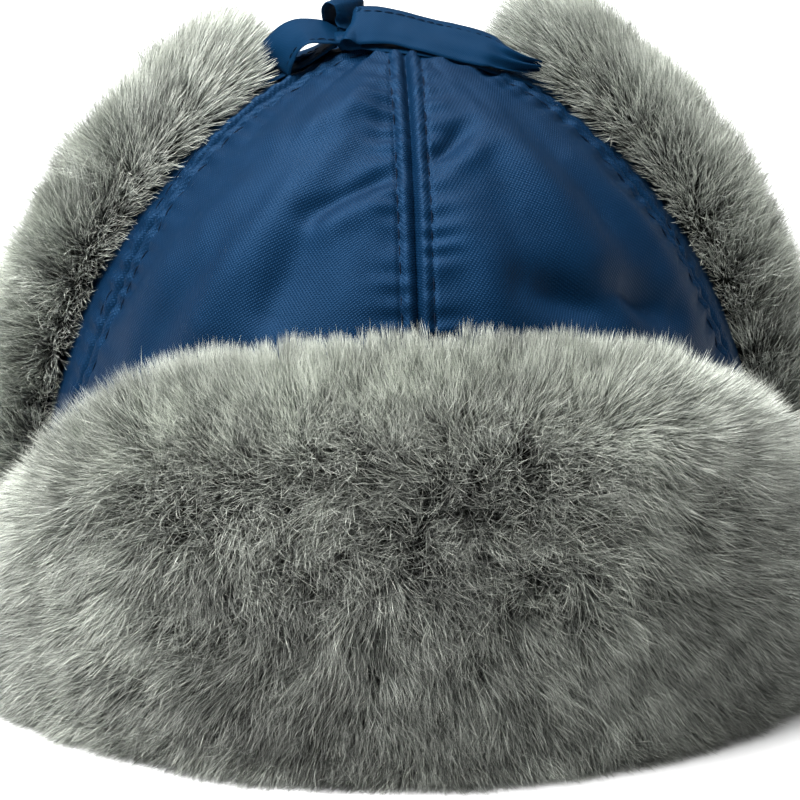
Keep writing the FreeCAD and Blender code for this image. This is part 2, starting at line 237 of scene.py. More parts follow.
WAVE_SCALE = 0.314  # a wave texture of this scale repeats once in a unit of length


def woven(name, dark, light, pitch, roughness, sheen, weave_bump=0.05, crossing=True, specular=0.5,
          tint=(1.0, 1.0, 1.0)):
    """Cloth whose threads cross at 45 degrees, pitch millimetres apart, from the cloth attribute."""
    material, tree, shader = new_material(name, dark, roughness, specular)
    shader.inputs["Specular Tint"].default_value = (*tint, 1)
    shader.inputs["Sheen Weight"].default_value = sheen
    shader.inputs["Sheen Roughness"].default_value = 0.45
    place = node(tree, "ShaderNodeAttribute", attribute_name="cloth").outputs["Vector"]
    height = None
    for turn in (45, -45) if crossing else (0,):
        turned = node(tree, "ShaderNodeMapping", Rotation=(0, 0, math.radians(turn)))
        tree.links.new(place, turned.inputs["Vector"])
        wave = node(tree, "ShaderNodeTexWave", wave_type="BANDS", bands_direction="X",
                    Scale=WAVE_SCALE / pitch, Distortion=0.6, Detail=1.0, Detail_Scale=2.0)
        tree.links.new(turned.outputs["Vector"], wave.inputs["Vector"])
        threads = wave.outputs["Fac"]
        height = threads if height is None else maths(tree, "MULTIPLY", height, threads)
    cloud = clouds(tree, place, 0.09, 4.0)
    slub = clouds(tree, place, 1.6, 2.0)
    shade = maths(tree, "MULTIPLY_ADD", height, 0.62, maths(tree, "MULTIPLY", cloud, 0.60))
    rough = node(tree, "ShaderNodeMapRange", To_Min=roughness - 0.07, To_Max=roughness + 0.09)
    tree.links.new(slub, rough.inputs["Value"])
    tree.links.new(rough.outputs["Result"], shader.inputs["Roughness"])
    colour_and_bump(tree, shader, shade, dark, light,
                    maths(tree, "MULTIPLY_ADD", slub, 0.5, height), 0.6, weave_bump)
    return material


def fleecy(name, dark, light, roughness, cell, bump_height):
    """A matt material with a mottled colour and a fibrous bump, in the object's own space."""
    material, tree, shader = new_material(name, dark, roughness, 0.2)
    place = node(tree, "ShaderNodeTexCoord").outputs["Object"]
    cloud = clouds(tree, place, 1 / (cell * MM), 6.0, Roughness=0.7)
    colour_and_bump(tree, shader, cloud, dark, light, cloud, 0.8, bump_height)
    return material


NYLON_TINT = (0.12, 0.45, 1.0)
NYLON = woven("nylon_twill", (0.0005, 0.0060, 0.0180), (0.0021, 0.0160, 0.044), 0.68, 0.48, 0.0,
              0.15, specular=0.17, tint=NYLON_TINT)
RIBBON = woven("nylon_ribbon", (0.0009, 0.0092, 0.0250), (0.0024, 0.0190, 0.050), 0.45, 0.48, 0.0,
               0.05, specular=0.07, tint=NYLON_TINT)
LINING = woven("satin_lining", (0.006, 0.008, 0.014), (0.016, 0.020, 0.032), 0.50, 0.34, 0.15, 0.03)
RIB_KNIT = woven("ribbed_sweatband", (0.008, 0.010, 0.016), (0.03, 0.034, 0.045), 1.3, 0.75, 0.4,
                 0.35, crossing=False, specular=0.2)
BINDING = woven("bias_binding", (0.008, 0.030, 0.075), (0.020, 0.062, 0.135), 0.45, 0.50, 0.2, 0.05)
WADDING = fleecy("polyester_wadding", (0.62, 0.62, 0.60), (0.86, 0.86, 0.84), 0.95, 4.0, 0.8)
BACKING = fleecy("fur_backing", (0.018, 0.020, 0.018), (0.060, 0.064, 0.058), 0.9, 1.6, 0.9)
BUCKRAM = fleecy("buckram", (0.55, 0.54, 0.49), (0.72, 0.71, 0.66), 0.8, 1.2, 0.15)
THREAD, _, _ = new_material("topstitch_thread", (0.0012, 0.0052, 0.0150), 0.7, 0.05)

# Fur colour: four steps from root to tip, in five tones of strand. The dark steps near the root are
# painted shade deep in the pile.
FUR_STEPS = [(0.030, 0.034, 0.029), (0.082, 0.090, 0.080), (0.184, 0.198, 0.176),
             (0.325, 0.341, 0.306)]
FUR_TONES = [0.36, 0.62, 0.94, 1.36, 2.00]
FUR = []
for tone in FUR_TONES:
    for colour in FUR_STEPS:
        shade = tuple(min(0.9, c * tone) for c in colour)
        made, _, shader = new_material("fur_tone_%d" % len(FUR), shade, 0.62, 0.35)
        shader.inputs["Sheen Weight"].default_value = 0.15
        FUR.append(made)


# --- the crown's surface --------------

side_low, side_high = span("crown_panel_side_right")
front_low, _ = span("crown_panel_front_left")
CROWN_X, CROWN_Y, CROWN_TOP = side_high[0], -front_low[1], side_high[2]
CROWN_BASE = side_low[2]
BAND = 14.95  # the crown is upright up to here, and a dome above
RISE = CROWN_TOP - BAND
SHELL, WAD = 1.2, 3.7  # gauges of the nylon and the wadding
SEAMS = np.radians([0, 70, 125, 180, -125, -70])
MEAN_RADIUS = (CROWN_X + CROWN_Y) / 2

profile_angles = np.linspace(0, math.pi / 2, 800)
profile_steps = np.hypot(np.diff(MEAN_RADIUS * np.cos(profile_angles)),
                         np.diff(RISE * np.sin(profile_angles)))
profile_arc = BAND + np.concatenate([[0], np.cumsum(profile_steps)])
PROFILE = profile_arc[-1]


def meridian(s):
    """Share of the base radius, and height, at s millimetres up the crown from the ground."""
    angle = np.interp(s, profile_arc, profile_angles)
    return np.cos(angle), np.where(s < BAND, s, BAND + RISE * np.sin(angle))


def crown_place(phi, s):
    """Points on the plain crown and their outward normals."""
    share, z = meridian(s)
    point = np.stack([CROWN_X * share * np.sin(phi), -CROWN_Y * share * np.cos(phi), z], -1)
    rise = np.maximum(z - BAND, 0)
    normal = unit(np.stack([point[..., 0] / CROWN_X ** 2, point[..., 1] / CROWN_Y ** 2,
                            rise / RISE ** 2], -1))
    return point, normal


def seam_distance(phi, s):
    """Signed distance in millimetres from the nearest seam, and which seam that is."""
    share, _ = meridian(s)
    turns = (phi[..., None] - SEAMS + math.pi) % (2 * math.pi) - math.pi
    nearest = np.argmin(np.abs(turns), -1)
    turn = np.take_along_axis(turns, nearest[..., None], -1)[..., 0]
    return turn * MEAN_RADIUS * share, nearest


# Folds in the crown's cloth: from (phi, height) to (phi, height), then height and half width.
FOLDS = [
    (-12, 148, -40, 100, 1.7, 7.0), (-8, 147, -27, 104, -1.5, 5.0), (-24, 147, -58, 98, 1.7, 8.0),
    (-20, 144, -50, 92, -1.6, 4.5), (-40, 138, -66, 96, -1.1, 5.0), (-2, 136, -24, 125, -1.2, 2.4),
    (-4, 130, -22, 121, 0.7, 3.5), (21, 143, 6, 137, -1.2, 2.4), (24, 139, 8, 133, 0.7, 3.0),
    (22, 110, 36, 101, -2.4, 5.5), (41, 105, 53, 97, -2.6, 5.0), (30, 142, 40, 104, 1.3, 8.0),
    (48, 132, 62, 94, 1.4, 7.0), (38, 142, 52, 108, -1.1, 5.0), (12, 126, 16, 100, 1.0, 7.0),
    (-150, 140, -140, 90, 1.4, 8.0), (-165, 135, -158, 88, -1.2, 5.0), (160, 140, 150, 92, 1.5, 8.0),
    (145, 145, 138, 100, -1.2, 5.0), (172, 128, 166, 96, -1.0, 4.0),
]
FOLD_GAIN = 1.9  # all folds are this much higher than in the table
STITCH = 4.5  # from one needle hole to the next
ROW = 4.1  # from a seam to its topstitching


def eased(value, low, high):
    t = np.clip((value - low) / (high - low), 0, 1)
    return t * t * (3 - 2 * t)


def free_share(phi, z):
    """1 where no flap lies over the crown, 0 under a flap."""
    side = np.abs(np.degrees((phi + math.pi) % (2 * math.pi) - math.pi))
    visor_edge = 96 - 50 * (side / 66) ** 3
    front = eased(z - visor_edge, -8, 6) * (1 - eased(side, 72, 80))
    back = eased(z, 70, 82) * eased(side, 136, 146)
    return np.maximum(np.maximum(front, back), eased(z, 150, 153))


def fold_end(degrees, z):
    """The point on the plain crown at an angle and a height."""
    share = math.sqrt(max(0.0, 1 - ((z - BAND) / RISE) ** 2))
    return np.array([CROWN_X * share * math.sin(math.radians(degrees)),
                     -CROWN_Y * share * math.cos(math.radians(degrees)), z])


def ridge(value, middle, width):
    return np.exp(-((value - middle) / width) ** 2)


def relief(phi, s):
    """How far the crown's cloth stands off the plain crown, in millimetres."""
    share, z = meridian(s)
    offset, seam = seam_distance(phi, s)
    far = np.abs(offset)
    room = eased(share * MEAN_RADIUS, 3, 16)
    across = phi * MEAN_RADIUS
    lift = 0.75 * noise(across, s, 19, 3) + 0.22 * noise(across, s, 8, 5)
    base, _ = crown_place(phi, s)
    for phi_a, z_a, phi_b, z_b, height, width in FOLDS:
        start, end = fold_end(phi_a, z_a), fold_end(phi_b, z_b)
        line = end - start
        along = np.clip(((base - start) @ line) / (line @ line), 0, 1)
        gap = np.linalg.norm(base - start - along[..., None] * line, axis=-1)
        gap = gap + 1.2 * noise(across, s, 15, 7)
        crest = 0.45 + 0.55 * np.sin(math.pi * along)
        lift = lift + FOLD_GAIN * height * ridge(gap, 0, width) * crest
    side = np.where(offset > 0, 1, 2) + 2 * seam
    ripple = np.sin(2 * math.pi * (s / 6.3 + 0.5 * noise(s, side * 37.0, 11, 9) + 0.31 * side))
    small = np.sin(2 * math.pi * (s / STITCH + 0.25 * side))
    spread = 0.75 + 0.5 * noise(s, side * 53.0, 16, 21)
    pucker = (0.55 * ripple * spread * ridge(far, 5.5, 5.0) + 0.16 * small * ridge(far, 3.0, 1.8)
              - 1.15 * ridge(far, 0, 0.75) + 0.75 * ridge(far, 2.1, 1.2)
              - 0.65 * ridge(far, ROW, 0.55) * (0.8 + 0.2 * small))
    pull = -1.5 * np.exp(-far / 15)
    lift = lift + (pucker + pull) * room
    free = free_share(phi, z)
    lift = lift + 2.0 * ridge(share * MEAN_RADIUS, 0, 27)
    outward = np.clip(lift, -0.4, None) * 0.35 - 0.1
    covered = np.clip(np.minimum(lift * 0.35, outward), -0.5, 0.25)
    return covered + (lift + 0.9 * room - covered) * free


def crown_surface(phi, s, depth=0.0):
    point, normal = crown_place(phi, s)
    return point + normal * (relief(phi, s) - depth)[..., None]


GORES = {gore: (math.radians(first), math.radians(last)) for gore, first, last in (
    ("front_left", -70.0, 0.0), ("front_right", 0.0, 70.0), ("side_right", 70.0, 125.0),
    ("back_right", 125.0, 180.0), ("back_left", 180.0, 235.0), ("side_left", 235.0, 290.0))}
TIP = PROFILE - 0.9
SEAM_ZONE = 9.0  # the mesh is finer this near to a seam


def seam_spacing(first, last):
    """Angles across a gore, closest together beside its two seams."""
    width = (last - first) * 80.0
    fine = np.arange(0, SEAM_ZONE, 0.55)
    middle = np.linspace(SEAM_ZONE, width - SEAM_ZONE, int((width - 2 * SEAM_ZONE) / 1.6))
    marks = np.concatenate([fine, middle, width - fine[::-1]])
    return first + (last - first) * marks / width


def belongs(piece, replaced, body):
    """The CAD node that the piece replaces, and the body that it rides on."""
    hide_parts(replaced)
    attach(piece, body)


def crown_gores():
    for gore, (first, last) in GORES.items():
        s = np.linspace(CROWN_BASE, TIP, 190)
        phis, heights = np.meshgrid(seam_spacing(first, last), s)
        share, _ = meridian(heights)
        cloth = np.stack([(phis - (first + last) / 2) * MEAN_RADIUS * share, heights], -1)
        skin = slab("crown_skin_" + gore, crown_surface(phis, heights),
                    crown_surface(phis, heights, SHELL * 0.6), NYLON, cloth)
        belongs(skin, "crown_panel_" + gore, "crown")
        phis, heights = np.meshgrid(np.linspace(first, last, 26), np.linspace(CROWN_BASE, TIP, 60))
        point, normal = crown_place(phis, heights)
        batt = slab("batt_" + gore, crown_surface(phis, heights, SHELL * 0.6 + 0.5),
                    point - normal * (SHELL + WAD + 0.1), WADDING)
        belongs(batt, "crown_wadding_" + gore, "crown")


# --- quilted lining, sweatband and rim 

def lining_gores():
    quilt = 27.0  # from one quilting line to the next
    depth = SHELL + WAD + 0.3
    for gore, (first, last) in GORES.items():
        phis, heights = np.meshgrid(seam_spacing(first, last)[::1],
                                    np.linspace(CROWN_BASE, TIP, 150))
        point, normal = crown_place(phis, heights)
        share, _ = meridian(heights)
        across = (phis - (first + last) / 2) * MEAN_RADIUS * share
        one = np.abs(np.sin(math.pi * (across + heights) / quilt))
        two = np.abs(np.sin(math.pi * (across - heights) / quilt))
        puff = 1.5 * (np.minimum(one, two) ** 0.6) * eased(heights, 30, 42)
        offset, _ = seam_distance(phis, heights)
        puff = puff * eased(np.abs(offset), 0.5, 5) * eased(share * MEAN_RADIUS, 2, 12)
        puff = puff + 0.3 * noise(across, heights, 9, 17)
        front = point - normal * (depth + np.maximum(puff, 0.0) + 0.5)[..., None]
        back = point - normal * depth
        piece = slab("quilt_" + gore, front[:, ::-1], back[:, ::-1], LINING,
                     np.stack([across, heights], -1)[:, ::-1])
        belongs(piece, "lining_panel_" + gore, "crown")


def ring_piece(name, section, material, wobble):
    """A closed bar round the crown's foot. section holds (outward, up) points from the oval."""
    phi = np.linspace(0, 2 * math.pi, 360, endpoint=False)
    outward = unit(np.stack([np.sin(phi) / CROWN_X, -np.cos(phi) / CROWN_Y, 0 * phi], -1))
    centre = np.stack([CROWN_X * np.sin(phi), -CROWN_Y * np.cos(phi), 0 * phi], -1)
    section = np.asarray(section, float)
    shift = wobble * noise(phi * MEAN_RADIUS, 0 * phi, 13, 31)
    points = (centre[:, None] + (section[None, :, :1] + shift[:, None, None]) * outward[:, None]
              + section[None, :, 1:] * np.array([0, 0, 1.0]))
    rows, columns = points.shape[:2]
    r, c = np.meshgrid(np.arange(rows), np.arange(columns), indexing="ij")
    ahead, up = (r + 1) % rows, (c + 1) % columns
    faces = np.stack([r * columns + c, ahead * columns + c, ahead * columns + up,
                      r * columns + up], -1).reshape(-1, 4)
    around = np.cumsum(np.linalg.norm(np.diff(section, axis=0, append=section[:1]), axis=1))
    cloth = np.stack(np.broadcast_arrays((phi * MEAN_RADIUS)[:, None], around[None]), -1)
    return make_mesh(name, points.reshape(-1, 3), [faces], [material], cloth=cloth.reshape(-1, 2))


def rim():
    _, high = span("rim_binding")
    height = high[2]
    bound = []
    for angle in np.linspace(0, 2 * math.pi, 20, endpoint=False):
        c, s = math.cos(angle), math.sin(angle)
        bound.append((-3.75 + 3.65 * np.sign(c) * abs(c) ** 0.6,
                      height / 2 + height / 2 * np.sign(s) * abs(s) ** 0.6))
    tape = ring_piece("rim_tape", bound[::-1], BINDING, 0.12)
    belongs(tape, "rim_binding", "crown")
    low, high = span("sweatband")
    outside = [(-6.2 - 0.9 * (level - low[2]) / (high[2] - low[2]), level)
               for level in np.linspace(low[2], high[2], 30)]
    inside = [(out - 1.15, level) for out, level in outside]
    band = ring_piece("sweatband_cloth", inside + outside[::-1], RIB_KNIT, 0.15)
    belongs(band, "sweatband", "crown")


# --- stitches -------------------------

def stitch_rows(name, rows, body, thickness=0.34):
    """Threads that show between needle holes. rows holds (centres, normals) of evenly spaced
    points along each row; each stitch spans most of the step to the next point."""
    pattern = [(ring + k, ring + (k + 1) % 6, ring + 6 + (k + 1) % 6, ring + 6 + k)
               for ring in (0, 6, 12, 18) for k in range(6)]
    for first in (0, 24):
        pattern += [(first, first + 1, first + 2, first + 3), (first, first + 3, first + 4, first + 5)]
    points, faces = [], []
    for centres, normals in rows:
        for a, b, up in zip(centres[:-1], centres[1:], normals[:-1]):
            faces.append(np.array(pattern) + len(points))
            step = b - a
            side = np.cross(up, step)
            side = side / np.linalg.norm(side)
            for part in np.linspace(0.1, 0.9, 5):
                swell = math.sin(math.pi * (part - 0.1) / 0.8) ** 0.5
                middle = a + step * part + up * (0.22 * swell - 0.12)
                half = thickness / 2 * (0.45 + 0.55 * swell)
                for turn in np.linspace(0, 2 * math.pi, 6, endpoint=False):
                    points.append(middle + half * (side * math.cos(turn) + up * math.sin(turn)))
    piece = make_mesh(name, np.array(points), [np.concatenate(faces)], [THREAD])
    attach(piece, body)


def crown_stitches():
    rows = []
    for number, seam in enumerate(SEAMS):
        for side in (-1, 1):
            s = np.arange(CROWN_BASE + 2 + 1.5 * (number % 2), TIP - 9, STITCH)
            share, _ = meridian(s)
            drawn = ROW + 0.25 * noise(s, 0 * s, 20, 41 + number)
            phi = seam + side * drawn / (MEAN_RADIUS * share)
            _, normal = crown_place(phi, s)
            rows.append((crown_surface(phi, s, -0.1), normal))
    stitch_rows("crown_topstitching", rows, "crown")


# --- flaps ----------------------------

class Flap:
    """A raised flap, named after its body and its CAD nodes. c runs round the hat (or front to back
    on an ear flap) and h runs up it, both in millimetres. Its outline's corners go anticlockwise.
    puff is the backing's height, which bulge adds to towards the ends, and wrap its drop at the edge."""

    def __init__(self, name, place, corners, puff, edge_width, flow, seed, mirror=1, bulge=0.0,
                 wrap=3.2):
        self.name, self.place_at, self.puff, self.edge_width = name, place, puff, edge_width
        self.edges = np.array([half_plane(a, b) for a, b in zip(corners, corners[1:] + corners[:1])])
        self.flow, self.seed, self.mirror = flow, seed, mirror
        self.bulge, self.wrap = bulge, wrap

    def place(self, c, h):
        return self.place_at(c, h) * np.array([self.mirror, 1, 1])

    def inside(self, c, h):
        """Distance in from the outline, whose corners are rounded, and which way is inwards."""
        soft = 7.0
        gaps = self.edges[:, 0] * c[..., None] + self.edges[:, 1] * h[..., None] + self.edges[:, 2]
        least = gaps.min(-1, keepdims=True)
        weights = np.exp(-(gaps - least) / soft)
        total = weights.sum(-1, keepdims=True)
        distance = (least - soft * np.log(total))[..., 0]
        inwards = (weights / total) @ self.edges[:, :2]
        return distance, inwards / np.maximum(np.linalg.norm(inwards, axis=-1, keepdims=True), 1e-6)

    def frame(self, c, h):
        """Outward normal and the two tangents of the flap's board."""
        step = 0.4
        along_c = unit(self.place(c + step, h) - self.place(c - step, h))
        along_h = unit(self.place(c, h + step) - self.place(c, h - step))
        return unit(np.cross(along_c, along_h)) * self.mirror, along_c, along_h

    def rolled_edge(self, c, inner):
        """The backing's roll angle, its rise above the board, and its drop towards the nylon."""
        roll = np.arccos(1 - np.clip(inner / self.edge_width, 0, 1))
        puff = self.puff * (1 + self.bulge * np.clip(np.abs(c) / 100, 0, 1) ** 2)
        return roll, puff, self.wrap * (1 - np.sin(roll))

    def pile_surface(self, c, h, distance=None):
        """The raised surface that the pile grows from, and its normal, rolled over at the edges."""
        inner, inwards = self.inside(c, h)
        if distance is not None:
            inner = distance
        roll, puff, drop = self.rolled_edge(c, inner)
        normal, along_c, along_h = self.frame(c, h)
        out = -(inwards[..., :1] * along_c + inwards[..., 1:] * along_h)
        height = puff * np.sin(roll) - drop
        rolled = unit(normal * (self.edge_width * np.sin(roll))[..., None]
                      + out * (puff * np.cos(roll))[..., None])
        return self.place(c, h) + normal * height[..., None], rolled, along_c, along_h

    def grid(self, rows, columns, low, high, middle, inset=0.0):
        """(c, h) over the outline, with rows and columns closer together at the edges."""
        heights = low + (high - low) * (1 - np.cos(np.linspace(0, math.pi, rows))) / 2
        spread = -np.cos(np.linspace(0, math.pi, columns))
        cs = np.zeros((rows, columns))
        for row, h in enumerate(heights):
            reach = []
            for way in (-1, 1):
                near, far = 0.0, 220.0
                for _ in range(30):
                    half = (near + far) / 2
                    gap = self.inside(np.array([middle + way * half]), np.array([h]))[0][0]
                    near, far = (half, far) if gap > inset else (near, half)
                reach.append(near)
            cs[row] = middle + spread * np.where(spread < 0, reach[0], reach[1])
        return cs, np.broadcast_to(heights[:, None], cs.shape).copy()


def dome_place(radius):
    """A wrap-round board: c is the arc length round the hat from its middle line, h the height."""
    def at(c, h):
        phi = c / MEAN_RADIUS
        rise = radius * VISOR_RISE
        share = np.sqrt(np.clip(1 - (np.maximum(h - VISOR_BAND, 0) / rise) ** 2, 0, 1))
        x = radius * share * np.sin(phi)
        y = -(radius * RATIO) * share * np.cos(phi)
        return np.stack([x, y, np.asarray(h, float) + 0 * x], -1)
    return at


def visor_painted_light(c, h):
    """Painted light: paler along the upper fringe and on the viewer's left, where the lamps fall, and
    painted shade low down.
    """
    return 1.35 * eased(h, 60, 90) - 0.6 * (1 - eased(h, 8, 48)) + 0.65 * eased(-c, 25, 100)


# Painted light: the whole flap paler, more so towards the top, and most along its front edge, over the
# shade between the flap and the crown.
def ear_painted_light(c, h):
    return 0.62 + 0.5 * eased(h, 110, 160) + 1.0 * (1 - eased(c, 0, 20))


def rear(place):
    """The same board on the back of the hat."""
    return lambda c, h: place(c, h) * np.array([-1, -1, 1])


def side_arc(angles):
    """Distances along the side boards' curve, between the angles."""
    return np.hypot(np.diff(100 * np.cos(angles)), np.diff(141 * np.sin(angles)))


side_angles = np.linspace(0, math.pi / 2, 500)
side_lengths = np.concatenate([[0], np.cumsum(side_arc(side_angles))])


def side_place(c, h):
    """A board up the hat's right side: c is y, h runs up the side and over towards the top."""
    c, h = np.broadcast_arrays(np.asarray(c, float), np.asarray(h, float))
    share = np.sqrt(np.clip(1 - (c / (PADDED * RATIO)) ** 2, 0, 1))
    angle = np.interp(h - BAND, side_lengths, side_angles)
    x = PADDED * share * np.cos(angle)
    z = np.where(h < BAND, h, BAND + PADDED * (RISE / CROWN_X) * share * np.sin(angle))
    return np.stack([x, c, z], -1)


def half_plane(a, b):
    """The half plane to the left of the line from a to b."""
    a, b = np.array(a, float), np.array(b, float)
    along = (b - a) / np.linalg.norm(b - a)
    normal = np.array([-along[1], along[0]])
    return (normal[0], normal[1], -normal @ a)


def visor_flow(c, h):
    """Combed away from a parting line across the visor's middle."""
    start, end = np.array([-56.0, 52.0]), np.array([52.0, 64.0])
    line = end - start
    p = np.stack([c + 9 * noise(c, h, 26, 61) + 4 * noise(c, h, 9, 62),
                  h + 9 * noise(c, h, 26, 63) + 4 * noise(c, h, 9, 64)], -1)
    along = np.clip((p - start) @ line / (line @ line), 0, 1)
    away = p - start - along[..., None] * line
    gap = np.linalg.norm(away, axis=-1, keepdims=True)
    flow = away / np.maximum(gap, 1e-6) * np.clip(gap / 40, 0.12, 1)
    flow[..., 1] = flow[..., 1] * np.where(flow[..., 1] < 0, 0.6, 1.0) + 0.35 * eased(h, 74, 94)
    return flow


def ear_flow(c, h):
    """Combed up and a little to the front and back, and in towards the top of the hat."""
    return np.stack([np.clip((c - 22) / 110, -0.24, 0.6), 1.05 + 0.25 * eased(h, 120, 150)], -1)


def ruffled_flow(c, h):
    """As ear_flow, but rumpled into broad waves."""
    return ear_flow(c, h) * np.array([1.0, 0.9]) + 0.75 * noise_pair(c, h, 28, 71)


def neck_flow(c, h):
    """Combed away from a line 30 mm up, and out to both ends."""
    upwards = np.where(h > 30, 1.0, -1.0) * np.clip(np.abs(h - 30) / 14, 0.15, 1)
    return unit(np.stack([c / 120, upwards], -1)) * 0.9


VISOR_BAND, VISOR_RISE = 21.2, 2.0  # upright up to here; above, how tall for the radius
neck_high = span("neck_flap_shell")[1][2]
ear_low, _ = span("ear_flap_right_wadding")
BOARD = 103.5  # from the hat's middle to the visor's board
PADDED = 104.4  # and to the padded flaps' boards
LOW = -9.0  # outlines start below the ground, so that no flap narrows at its foot
RATIO = CROWN_Y / CROWN_X

visor = Flap("visor", dome_place(BOARD),
             [(-127, LOW), (127, LOW), (121, 44), (111, 60), (93, 78), (68, 93), (38, 100),
              (-22, 101), (-50, 97), (-77, 86), (-98, 68), (-115, 44)],
             8.5, 17.0, visor_flow, 101, bulge=0.75, wrap=2.3)
neck = Flap("neck_flap", rear(dome_place(PADDED)),
            [(-81, LOW), (81, LOW), (77, neck_high + 3), (-77, neck_high + 3)],
            6.5, 15.0, neck_flow, 202)
ear_angles = np.linspace(0, math.acos(ear_low[0] / PADDED), 300)
EAR_TOP = BAND + 3.0 + side_arc(ear_angles).sum()
EAR_MIDDLE = 23.0
# The left flap's fur is flatter and more rumpled in the photo.
ears = []
for side_name, way, seed, puff, reach, flow in (("right", 1, 303, 9.0, 6, ear_flow),
                                                ("left", -1, 404, 6.8, 0, ruffled_flow)):
    ears.append(Flap("ear_flap_" + side_name, side_place,
                     [(-2, LOW), (67, LOW), (57, EAR_TOP + reach), (-8, EAR_TOP + reach)],
                     puff, 15.0, flow, seed, way))

FOOT = 1.0  # each flap's cloth starts this high


def bends(piece):
    """Moves the piece's placement into its mesh points."""
    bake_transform(piece)


def flap_cloth(flap, middle, high, nylon_depth, core_kind, core_material):
    """The flap's nylon side, its core, and the raised backing that its pile grows from."""
    rows, columns = ((60, 90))
    order = slice(None, None, flap.mirror)
    c, h = flap.grid(rows, columns, FOOT, high, middle, 1.2)
    normal, _, _ = flap.frame(c, h)
    wrinkle = (0.35 * noise(c, h, 22, flap.seed + 1))[..., None]
    inner = flap.place(c, h) - normal * nylon_depth + normal * wrinkle
    outer = inner + normal * 0.7
    shell = slab(flap.name + "_nylon", inner[:, ::-1][:, order], outer[:, ::-1][:, order], NYLON,
                 np.stack([c, h], -1)[:, ::-1][:, order])
    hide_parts(flap.name + "_shell")
    bends(shell)
    c, h = flap.grid(rows // 2, columns // 2, FOOT, high - 8.0, middle, 8.0)
    normal, _, _ = flap.frame(c, h)
    board = flap.place(c, h)
    core = slab(flap.name + "_core", (board - normal * 0.2)[:, order],
                (board - normal * (nylon_depth - 1.1))[:, order], core_material)
    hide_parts(flap.name + "_" + core_kind)
    bends(core)
    c, h = flap.grid(rows, columns, FOOT, high, middle)
    normal, _, _ = flap.frame(c, h)
    _, _, drop = flap.rolled_edge(c, flap.inside(c, h)[0])
    under = flap.place(c, h) - normal * (drop + 0.15)[..., None]
    surface, _, _, _ = flap.pile_surface(c, h)
    backing = slab(flap.name + "_pile_backing", surface[:, order], under[:, order], BACKING,
                   np.stack([c, h], -1))
    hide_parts(flap.name + "_fur")
    bends(backing)


# --- pile -----------------------------

STEPS = 4  # stretches in a strand
STRAND_WIDTH = 0.095  # a strand's mean half width, before its share at each step
HALF_WIDTHS = np.array([0.85, 1.0, 0.86, 0.58])
LEAN, DROOP = 0.95, 0.12
PILE_FOOT = 0.5
PILE_PER_PIECE = 26000


def clump(c, h, cell, seed):
    """Centre of each strand's clump, and four random numbers that the clump shares."""
    ic, ih = np.floor(c / cell), np.floor(h / cell)
    best = np.full(c.shape, 1e9)
    centre = np.zeros(c.shape + (2,))
    shared = np.zeros(c.shape + (4,))
    for dc in (-1, 0, 1):
        for dh in (-1, 0, 1):
            jc, jh = ic + dc, ih + dh
            cc = (jc + 0.15 + 0.7 * hashed(jc, jh, seed)) * cell
            ch = (jh + 0.15 + 0.7 * hashed(jc, jh, seed + 1)) * cell
            gap = (c - cc) ** 2 + (h - ch) ** 2
            nearer = gap < best
            best = np.where(nearer, gap, best)
            centre[nearer] = np.stack([cc, ch], -1)[nearer]
            for k in range(4):
                shared[..., k] = np.where(nearer, hashed(jc, jh, seed + 2 + k), shared[..., k])
    return centre, shared


def scatter(flap, density, high, reach, rng):
    """Strand roots over the flap and over its rolled edges."""
    count = int(density * (reach * 2) * (high - PILE_FOOT))
    c = rng.uniform(-reach, reach, count)
    h = rng.uniform(PILE_FOOT, high, count)
    distance, inwards = flap.inside(c, h)
    keep = distance > 0
    c, h, distance, inwards = c[keep], h[keep], distance[keep], inwards[keep]
    edge = distance < flap.edge_width
    extra_c, extra_h, old, way = (np.concatenate([part[edge]] * 2)
                                  for part in (c, h, distance, inwards))
    moved = flap.edge_width * (1 - np.cos(rng.uniform(0, math.pi / 2, len(old))))
    extra_c = extra_c + way[:, 0] * (moved - old)
    extra_h = extra_h + way[:, 1] * (moved - old)
    return (np.concatenate([c, extra_c]), np.concatenate([h, extra_h]),
            np.concatenate([distance, moved]))


